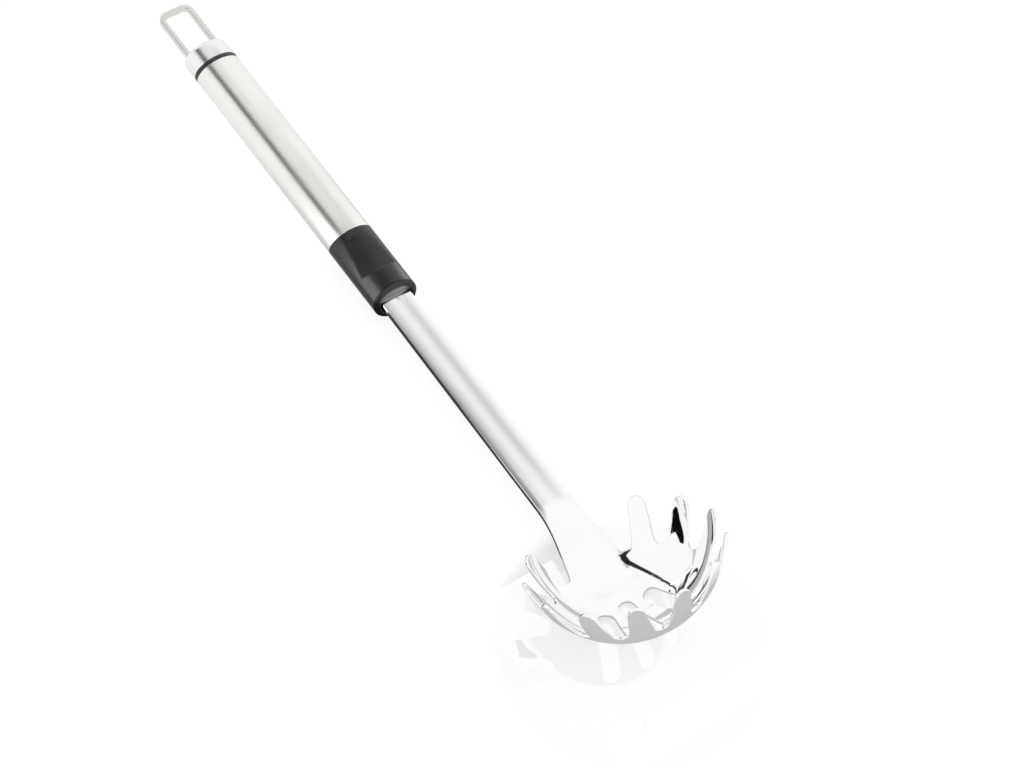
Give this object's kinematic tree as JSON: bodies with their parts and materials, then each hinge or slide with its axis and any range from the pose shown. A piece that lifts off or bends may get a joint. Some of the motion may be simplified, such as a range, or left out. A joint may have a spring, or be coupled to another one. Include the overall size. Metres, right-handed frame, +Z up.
{
  "type": "pasta server",
  "caption": "Pasta server: a toothed, slotted steel bowl on a long stem, with an oval steel tube handle, a black front grip and a hanging loop.",
  "frame": {"origin": "middle of the footprint, at the height of the bowl's lowest point", "axes": "+X along the handle towards the bowl, +Z up out of the bowl as it lies on a table, and the XZ plane is the plane of symmetry"},
  "size_m": [0.336, 0.0748, 0.0525],
  "materials": {
    "polished_steel": "mirror polished stainless steel",
    "satin_steel": "satin stainless steel, brushed lengthwise",
    "cap_steel": "satin stainless steel",
    "loop_steel": "satin stainless steel band with bright edges",
    "pin_steel": "plain steel",
    "black_plastic": "satin black moulded plastic",
    "ring_plastic": "satin black moulded plastic",
    "grey_plastic": "light grey moulded plastic",
    "core_plastic": "dark moulded plastic, unseen"
  },
  "bodies": {
    "root": {"server_head": "polished_steel", "stem_plug": "grey_plastic", "front_collar": "black_plastic", "handle_core": "core_plastic", "tang_pin": "pin_steel", "handle_tube": "satin_steel", "spacer_ring": "ring_plastic", "end_anchor": "core_plastic", "end_cap": "cap_steel", "hanging_loop": "loop_steel"}
  },
  "joints": []
}
